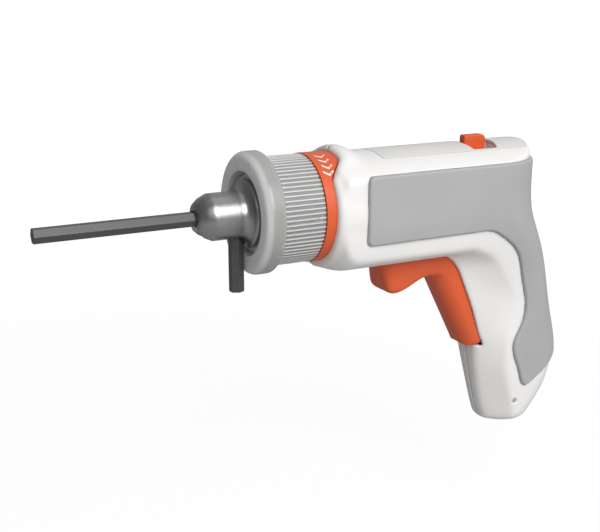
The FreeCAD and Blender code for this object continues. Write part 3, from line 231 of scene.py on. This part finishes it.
def grained(paint, grain, height):
    """Gives a moulded piece its uneven sheen and fine grain, and hands over the material."""
    paint.scuff(paint.noise(SHEEN_SCALE, FINE), SHEEN_SPREAD)
    paint.emboss(paint.noise(grain, COARSE), height, GRAIN_STRENGTH)
    return paint.material


def moulded(name, colour, rough, grain, height, spread, **settings):
    """Moulded plastic or soft rubber, with faint flow marks."""
    paint = Paint(name, colour, rough, **settings)
    paint.soften(MOULD_EDGE)
    paint.vary(paint.noise(FLOW_SCALE, COARSE), spread)
    return grained(paint, grain, height)


# Where the lip runs out into the barrel, and how soft the edges are by share of that length.
BROW = (132 * MM, 152 * MM)
BROW_EDGES = ((0.15, 1.6 * MM), (0.35, 4.2 * MM), (0.7, 4.2 * MM), (0.9, 1.8 * MM))


def shell(name, colour, rough, grain, height, spread):
    """The housing's white plastic, softest at the brow."""
    paint = Paint(name, colour, rough)
    brow = paint.span(paint.along(paint.where), BROW, (0, 1))
    paint.soften(paint.ramp(brow, [(share, (edge,) * 3) for share, edge in BROW_EDGES]))
    paint.vary(paint.noise(FLOW_SCALE, COARSE), spread)
    return grained(paint, grain, height)


def machined(name, colour, rough, stretch, metallic=1.0, edge=METAL_EDGE):
    """Metal with tool marks drawn out along one direction."""
    paint = Paint(name, colour, rough, metallic)
    paint.soften(edge)
    paint.vary(paint.noise(STREAK_SCALE, FINE, stretch), STREAK_SPREAD)
    paint.scuff(paint.noise(WEAR_SCALE, FINE, stretch), WEAR_SPREAD)
    paint.emboss(paint.noise(CUT_SCALE, COARSE, stretch), CUT_HEIGHT, CUT_STRENGTH)
    return paint.material


# Radii of the collar's ribs, and the colours from their roots over their tips to the flange:
# painted shade at the roots, a painted highlight on the tips, then the flange's plain colour.
RIB_ROOT = 24.15 * MM
RIB_TIP = 24.7 * MM
RIB_EDGE = 0.2 * MM
RIB_PAINTED_LIGHT = (
    (0.0, (0.36, 0.355, 0.35)),
    (0.3, (0.42, 0.415, 0.41)),
    (0.5, (0.80, 0.79, 0.78)),
    (0.55, (0.78, 0.77, 0.76)),
    (1.0, (0.40, 0.395, 0.39)),
)
# Painted light: faces turned towards the nose end are painted lighter, as if light came through
# the smoky plastic.
FRONT_PAINTED_LIGHT = (0.93, 0.92, 0.91)
PAINTED_FRONT_FACING = (0.15, 0.95)


def smoky(name, colour, rough, grain, height, **settings):
    """Smoky translucent moulding, with painted highlights on its thin rib tips and front, lighter
    than the body, and painted shade at the rib roots.
    """
    paint = Paint(name, colour, rough, **settings)
    paint.soften(MOULD_EDGE)
    radius = paint.length(paint.stretched((0, 1, 1)))
    ribs = paint.span(radius, (RIB_ROOT, RIB_TIP), (0, 0.5))
    flange = paint.span(radius, (RIB_TIP, RIB_TIP + RIB_EDGE), (0, 0.5))
    # Painted highlights on the rib tips and painted shade at their roots, by radius.
    rib_painted_light = paint.ramp(paint.combine("ADD", ribs, flange), RIB_PAINTED_LIGHT)
    # Painted light: the front is painted lighter the more it faces the nose end.
    front_painted_light = paint.span(paint.facing((-1, 0, 0)), PAINTED_FRONT_FACING, (0, 1))
    paint.tint(paint.overlaid(rib_painted_light, FRONT_PAINTED_LIGHT, front_painted_light))
    return grained(paint, grain, height)


CLEAR = {"IOR": 1.49, "Transmission_Weight": 0.6}
SMOKE = {
    "IOR": 1.49,
    "Transmission_Weight": 0.12,
    "Subsurface_Weight": 0.7,
    "Subsurface_Radius": (1, 1, 1),
    "Subsurface_Scale": 4.0 * MM,
}
ALONG = (0.06, 1, 1)
ROUND = (1, 0.06, 0.06)
FINISHES = {
    "white_plastic": shell("white_shell", (0.80, 0.79, 0.775), 0.36, 2600, 0.02 * MM, 0.012),
    "soft_grey": moulded("soft_panel", (0.385, 0.385, 0.392), 0.6, 3200, 0.06 * MM, 0.03),
    "strip_grey": moulded("strip", (0.70, 0.69, 0.675), 0.5, 3000, 0.04 * MM, 0.02),
    "orange_plastic": moulded("orange_shell", (0.67, 0.098, 0.026), 0.42, 2600, 0.02 * MM, 0.03),
    "collar_smoke": smoky("smoky_collar", (0.45, 0.44, 0.43), 0.26, 2200, 0.01 * MM, **SMOKE),
    "black_plastic": moulded("black_shell", (0.03, 0.03, 0.032), 0.5, 2400, 0.03 * MM, 0.05),
    "gear_nylon": moulded("nylon_gear", (0.72, 0.70, 0.62), 0.45, 2400, 0.02 * MM, 0.02),
    "cell_wrap": moulded("cell_wrap", (0.06, 0.20, 0.36), 0.3, 1500, 0.02 * MM, 0.04),
    "board_green": moulded("board_lacquer", (0.02, 0.18, 0.07), 0.35, 1800, 0.03 * MM, 0.06),
    "clear_pipe": moulded("light_pipe", (0.85, 0.86, 0.88), 0.15, 1500, 0.01 * MM, 0.01, **CLEAR),
    "key_steel": machined("key_steel", (0.068, 0.068, 0.07), 0.42, ALONG, metallic=0.2),
    "nose_steel": machined("nose_steel", (0.36, 0.36, 0.362), 0.34, ROUND, edge=3.0 * MM),
    "gear_steel": machined("gear_steel", (0.45, 0.45, 0.46), 0.35, ROUND),
    "can_steel": machined("can_steel", (0.55, 0.55, 0.56), 0.3, ALONG),
    "bronze": machined("bronze", (0.60, 0.40, 0.18), 0.4, ROUND),
    "nickel": machined("nickel", (0.68, 0.66, 0.62), 0.22, ALONG),
}
SHARP_ANGLE = math.radians(28)
for node, obj in nodes.items():
    obj.data.materials.clear()
    obj.data.materials.append(FINISHES[subparts[node]["material_slot"]])
    for polygon in obj.data.polygons:
        polygon.use_smooth = True
    obj.data.set_sharp_from_angle(angle=SHARP_ANGLE)


# Eased mouldings


# Room to the nearest neighbour at which the easing starts, and at which it is full.
EASE_FROM = 0.8 * MM
EASE_FULL = 4.0 * MM
EASE_FACTOR = 0.5
HOUSING_ROUNDS = 40
TRIGGER_ROUNDS = 70
FACE_SIZE = 0.68 * MM
SEAM = 0.4 * MM
GIVE = 0.15 * MM
RANGES = {joint["name"]: joint.get("range_m") for joint in frame["record"]["behaviour"]["joints"]}
PULL = RANGES["trigger_pull"][1]
SLIDE = RANGES["selector_slide"][1]
# Shares of a travel at which the moving piece is looked at.
ONE_WAY = (0, 0.5, 1)
BOTH_WAYS = (-1, -0.5, 0, 0.5, 1)


def skin(node, shift=(0, 0, 0)):
    """A node's surface, moved along its path by a shift, to measure room from."""
    mesh = nodes[node].data
    move = Vector(shift)
    points = [vertex.co + move for vertex in mesh.vertices]
    return BVHTree.FromPolygons(points, [polygon.vertices for polygon in mesh.polygons])


def even_mesh(node, seam):
    """A node's skin in small even faces, flat within the seam where the housing's halves meet."""
    piece = bpy.data.objects.new(node, nodes[node].data.copy())
    scene.collection.objects.link(piece)
    even = piece.modifiers.new("even", "REMESH")
    even.mode = "VOXEL"
    even.voxel_size = FACE_SIZE
    even.use_smooth_shade = True
    depsgraph = bpy.context.evaluated_depsgraph_get()
    made = bpy.data.meshes.new_from_object(piece.evaluated_get(depsgraph))
    bpy.data.objects.remove(piece)
    own = skin(node)
    for vertex in made.vertices:
        vertex.co = own.find_nearest(vertex.co)[0]
        if abs(vertex.co.y) < seam:
            vertex.co.y = 0
    made.update()
    return made


def eased(node, body, rounds, neighbours, paths=(), seam=0):
    """Stands for a moulded node, with its corners eased as the moulding has them.

    It is kept as it is where it fits its neighbours. Next to the paths of a sliding piece it
    gives way a little, so that no face cuts a corner there.
    """
    piece = bpy.data.objects.new("eased_" + node, even_mesh(node, seam))
    scene.collection.objects.link(piece)
    free = piece.vertex_groups.new(name="free")
    normals = [vertex.normal.copy() for vertex in piece.data.vertices]
    others = [*neighbours, *paths]
    for vertex, normal in zip(piece.data.vertices, normals):
        room = min(other.find_nearest(vertex.co)[3] for other in others)
        if room < EASE_FROM and any(path.find_nearest(vertex.co)[3] < EASE_FROM for path in paths):
            vertex.co -= normal * GIVE
        share = (room - EASE_FROM) / (EASE_FULL - EASE_FROM)
        free.add([vertex.index], min(1, max(0, share)), "REPLACE")
    ease = piece.modifiers.new("ease", "SMOOTH")
    ease.factor = EASE_FACTOR
    ease.iterations = rounds
    ease.vertex_group = free.name
    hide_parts(node)
    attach(piece, body)


seated = [skin(node) for node in ("top_strip", "indicator_ring", "charge_socket", "charge_light")]
seated += [skin("trigger", (share * PULL, 0, 0)) for share in ONE_WAY]
sliding = [skin("direction_selector", (0, share * SLIDE, 0)) for share in BOTH_WAYS]
by_left = seated + [skin("right_housing"), skin("left_grip_panel")]
by_right = seated + [skin("left_housing"), skin("right_grip_panel")]
halves = ("left_housing", "right_housing")
by_trigger = [skin(half, (-share * PULL, 0, 0)) for half in halves for share in ONE_WAY]
eased("left_housing", "housing", HOUSING_ROUNDS, by_left, sliding, SEAM)
eased("right_housing", "housing", HOUSING_ROUNDS, by_right, sliding, SEAM)
eased("trigger", "trigger", TRIGGER_ROUNDS, by_trigger)


# Marks on the ring


RING_RADIUS = 25.0 * MM
MARK_PROUD = 0.03 * MM
MARK_WIDTH = 1.1 * MM
MARK_BENDS = (-2.7 * MM, 0, 2.5 * MM)
# Each mark's place along the spindle axis, and its angle up from the ring's left side. Its middle
# is lower by the rake. Angles are in degrees.
MARK_PLACES = ((128.4 * MM, 76.0), (128.4 * MM, 66.5), (128.3 * MM, 57.0), (127.4 * MM, 48.5))
MARK_RAKE = 4.5
# Corners of a mark's two faces, in the order in which its points are made.
MARK_FACES = ((0, 2, 3, 1), (2, 4, 5, 3))


def on_ring(x, turn):
    """A point just above the ring, at an angle up from its left side."""
    angle = math.radians(turn)
    radius = RING_RADIUS + MARK_PROUD
    return Vector((x, -radius * math.cos(angle), radius * math.sin(angle)))


def chevrons():
    """Plain direction chevrons printed on the ring's tab."""
    mesh = bpy.data.meshes.new("ring_chevrons")
    points, faces = [], []
    half = math.degrees(MARK_WIDTH / RING_RADIUS) / 2
    for along, turn in MARK_PLACES:
        first = len(points)
        for bend, low in zip(MARK_BENDS, (0, MARK_RAKE, 0)):
            x = along + bend
            points += [on_ring(x, turn - low - half), on_ring(x, turn - low + half)]
        faces += [[first + corner for corner in face] for face in MARK_FACES]
    mesh.from_pydata(points, [], faces)
    mesh.materials.append(FINISHES["white_plastic"])
    piece = bpy.data.objects.new("ring_chevrons", mesh)
    scene.collection.objects.link(piece)
    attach(piece, "housing")


chevrons()


# Floor, sky, lamps and camera


WHITE = (1, 1, 1, 1)
FLOOR_REACH = 6.0
FLOOR_DROP = 0.05
FLOOR_COLOUR = (0.5, 0.5, 0.5, 1)
FLOOR_ROUGH = 0.9
# Distances from the tool between which the floor's glow to the camera grows, and its levels there.
# The share of the floor that doesn't glow takes the shadow.
GLOW_SPAN = (0.4, 1.2)
GLOW_LEVELS = (1.07, 1.2)
GLOW_SHARE = 0.88
# Directions along the spindle axis between which the sky grows lighter, and its levels there.
SKY_SPAN = (-0.7, 0.5)
SKY_LEVELS = (0.17, 0.50)


def pale_material():
    """Matt grey that glows almost white to the camera."""
    material = bpy.data.materials.new("pale_floor")
    material.use_nodes = True
    pale = Nodes(material.node_tree)
    surface = pale.tree.nodes["Principled BSDF"]
    surface.inputs["Base Color"].default_value = FLOOR_COLOUR
    surface.inputs["Roughness"].default_value = FLOOR_ROUGH
    glow = pale.add("Emission")
    glow.inputs["Color"].default_value = WHITE
    distance = pale.length(pale.add("TexCoord").outputs["Object"])
    pale.link(pale.span(distance, GLOW_SPAN, GLOW_LEVELS), glow.inputs["Strength"])
    seen = pale.add("LightPath").outputs["Is Camera Ray"]
    mix = pale.add("MixShader")
    pale.link(pale.combine("MULTIPLY", seen, GLOW_SHARE), mix.inputs["Fac"])
    pale.link(surface.outputs["BSDF"], mix.inputs[1])
    pale.link(glow.outputs["Emission"], mix.inputs[2])
    pale.link(mix.outputs["Shader"], pale.tree.nodes["Material Output"].inputs["Surface"])
    return material


def backdrop():
    """Wide pale floor under the tool, white to the camera but for the tool's shadow."""
    mesh = bpy.data.meshes.new("floor")
    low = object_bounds()[0][2] - FLOOR_DROP
    sides = ((-1, -1), (1, -1), (1, 1), (-1, 1))
    corners = [(x * FLOOR_REACH, y * FLOOR_REACH, low) for x, y in sides]
    mesh.from_pydata(corners, [], [(0, 1, 2, 3)])
    mesh.materials.append(pale_material())
    floor = bpy.data.objects.new("floor", mesh)
    scene.collection.objects.link(floor)


def sky():
    """Soft light from all round, dimmer from the tool's nose end, and white to the camera."""
    scene.world = bpy.data.worlds.new("studio")
    scene.world.use_nodes = True
    light = Nodes(scene.world.node_tree)
    glow = light.tree.nodes["Background"]
    glow.inputs["Color"].default_value = WHITE
    toward = light.along(light.add("TexCoord").outputs["Generated"])
    level = light.span(toward, SKY_SPAN, SKY_LEVELS, interpolation_type="SMOOTHSTEP")
    rays = light.add("LightPath").outputs
    seen = light.combine("MAXIMUM", rays["Is Camera Ray"], rays["Is Transmission Ray"])
    light.link(light.combine("MAXIMUM", level, seen), glow.inputs["Strength"])


def lamp(name, place, target, size, power):
    """Square lamp at a place, turned to a target."""
    light = bpy.data.lights.new(name, "AREA")
    light.size = size
    light.energy = power
    obj = bpy.data.objects.new(name, light)
    scene.collection.objects.link(obj)
    obj.location = place
    obj.rotation_euler = (Vector(target) - Vector(place)).to_track_quat("-Z", "Y").to_euler()


AZIMUTH, ELEVATION, ROLL = (math.radians(angle) for angle in (-27.009, 14.965, -0.216))
CAMERA_PLACE = Vector((-0.0903, -0.4159, 0.0972))
SENSOR_WIDTH = 36
FOCAL_LENGTH = 62.65
CLIP_START = 0.01


def camera():
    """Camera at the photograph's angle."""
    flat = math.cos(ELEVATION)
    back = Vector((math.sin(AZIMUTH) * flat, -math.cos(AZIMUTH) * flat, math.sin(ELEVATION)))
    level = Vector((math.cos(AZIMUTH), math.sin(AZIMUTH), 0))
    right = math.cos(ROLL) * level + math.sin(ROLL) * back.cross(level)
    up = back.cross(right)
    lens = bpy.data.cameras.new("camera")
    lens.sensor_width = SENSOR_WIDTH
    lens.lens = FOCAL_LENGTH
    lens.clip_start = CLIP_START
    obj = bpy.data.objects.new("camera", lens)
    scene.collection.objects.link(obj)
    turn = Matrix((right, up, back)).transposed().to_4x4()
    obj.matrix_world = Matrix.Translation(CAMERA_PLACE) @ turn
    scene.camera = obj


backdrop()
sky()
lamp("key", place=(0.18, -0.96, 0.66), target=(0.17, 0, -0.01), size=0.8, power=13.6)
lamp("top", place=(0.25, 0.1, 1.0), target=(0.17, 0, 0), size=0.7, power=0.6)
camera()
